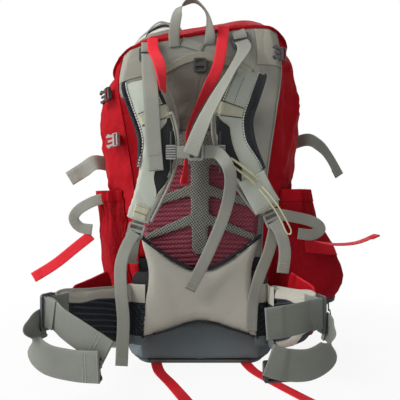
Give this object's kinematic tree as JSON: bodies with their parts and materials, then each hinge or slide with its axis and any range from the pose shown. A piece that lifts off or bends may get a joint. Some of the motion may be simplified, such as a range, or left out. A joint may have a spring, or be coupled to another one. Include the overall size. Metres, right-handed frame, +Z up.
{
  "type": "trekking backpack",
  "caption": "Internal-frame trekking backpack with hinged lid, padded harness, swinging hip belt wings, sliding chest strap, side pockets and webbing straps.",
  "frame": {"origin": "middle of the back edge line, on the ground under the bag's base", "axes": "+Z up, harness side towards -Y, +X to the right as seen from the harness side"},
  "size_m": [0.6519, 0.5476, 0.6612],
  "materials": {
    "red_fabric": "coated ripstop weave, slightly creased",
    "grey_fabric": "plain weave",
    "slate_fabric": "plain weave, creased",
    "maroon_foam": "ridged foam under cloth",
    "spacer_mesh": "open spacer mesh",
    "pale_foam": "foam under soft cloth",
    "black_foam": "dense foam",
    "frame_plastic": "sheet polyethylene",
    "frame_alloy": "bare rod",
    "dark_plastic": "moulded acetal",
    "black_plastic": "moulded acetal",
    "grey_webbing": "flat woven webbing",
    "red_webbing": "flat woven webbing",
    "cream_elastic": "braided elastic"
  },
  "bodies": {
    "pack": {"base_panel": "slate_fabric", "rear_panel": "grey_fabric", "front_panel": "red_fabric", "side_panel_left": "red_fabric", "side_panel_right": "red_fabric", "frame_sheet": "frame_plastic", "frame_rod": "frame_alloy", "hydration_sleeve": "slate_fabric", "hydration_clip": "dark_plastic", "back_pad": "maroon_foam", "spine_mesh": "spacer_mesh", "belt_core": "black_foam", "lumbar_pad": "pale_foam", "slate_panel": "slate_fabric", "side_pocket_left": "red_fabric", "side_pocket_right": "red_fabric", "front_pocket": "red_fabric", "front_zip": "black_plastic", "lid_sockets": "black_plastic", "shoulder_strap_left": "pale_foam", "shoulder_strap_right": "pale_foam", "ladder_locks": "dark_plastic", "lower_webs": "grey_webbing", "lower_tail_left": "grey_webbing", "lower_tail_right": "grey_webbing", "lifter_locks": "dark_plastic", "load_lifter_left": "grey_webbing", "load_lifter_right": "grey_webbing", "sternum_rails": "dark_plastic", "stow_sleeve": "grey_fabric", "stow_loops": "cream_elastic", "tie_cord": "cream_elastic", "upper_side_straps": "grey_webbing", "lower_side_strap_left": "grey_webbing", "lower_side_strap_right": "grey_webbing", "red_tails": "red_webbing", "lid_tail_left": "red_webbing", "lid_tail_right": "red_webbing", "mat_straps": "red_webbing", "fork_tabs": "red_webbing"},
    "lid": {"lid": "red_fabric", "lid_loop": "grey_webbing", "lid_forks": "black_plastic"},
    "haul": {"haul_loop": "grey_webbing"},
    "wing_left": {"hip_wing_left": "spacer_mesh", "wing_pocket_left": "red_fabric", "hip_webbing_left": "grey_webbing", "hip_glide_left": "dark_plastic", "hip_buckle_fork": "black_plastic"},
    "wing_right": {"hip_wing_right": "spacer_mesh", "wing_pocket_right": "red_fabric", "hip_webbing_right": "grey_webbing", "hip_glide_right": "dark_plastic", "hip_buckle_socket": "black_plastic"},
    "chest": {"sternum_clips": "dark_plastic", "sternum_webbing": "grey_webbing"},
    "slider": {"zip_slider": "black_plastic"},
    "fork_left_upper": {"side_fork_left_upper": "black_plastic"},
    "fork_left_lower": {"side_fork_left_lower": "black_plastic"},
    "fork_right": {"side_fork_right": "black_plastic"}
  },
  "joints": [
    {"name": "lid_hinge", "type": "hinge", "parent": "pack", "child": "lid", "pos_m": [0, -0.098, 0.605], "axis": [0.9889, 0, 0.1483], "range_deg": [0, 70]},
    {"name": "haul_swing", "type": "hinge", "parent": "pack", "child": "haul", "pos_m": [-0.014, -0.0996, 0.5812], "axis": [0.9956, 0, 0.0933], "range_deg": [0, 60]},
    {"name": "wing_left_hinge", "type": "hinge", "parent": "pack", "child": "wing_left", "pos_m": [-0.128, -0.105, 0.1], "axis": [0, 0, 1], "range_deg": [-35, 10]},
    {"name": "wing_right_hinge", "type": "hinge", "parent": "pack", "child": "wing_right", "pos_m": [0.128, -0.105, 0.1], "axis": [0, 0, -1], "range_deg": [-35, 4]},
    {"name": "chest_slide", "type": "slide", "parent": "pack", "child": "chest", "axis": [0, 0, 1], "range_m": [-0.014, 0.014]},
    {"name": "zip_slide", "type": "slide", "parent": "pack", "child": "slider", "axis": [0, 1, 0], "range_m": [-0.012, 0.012]},
    {"name": "fork_left_upper_swing", "type": "hinge", "parent": "pack", "child": "fork_left_upper", "pos_m": [-0.16958, -0.09283, 0.49619], "axis": [-0.1142, 0.1308, 0.9848], "range_deg": [0, 28]},
    {"name": "fork_left_lower_swing", "type": "hinge", "parent": "pack", "child": "fork_left_lower", "pos_m": [-0.1528, -0.1046, 0.41041], "axis": [-0.0645, 0.0586, 0.9962], "range_deg": [0, 28]},
    {"name": "fork_right_swing", "type": "hinge", "parent": "pack", "child": "fork_right", "pos_m": [0.15275, -0.09729, 0.56807], "axis": [0, 0, 1], "range_deg": [0, 28]}
  ]
}
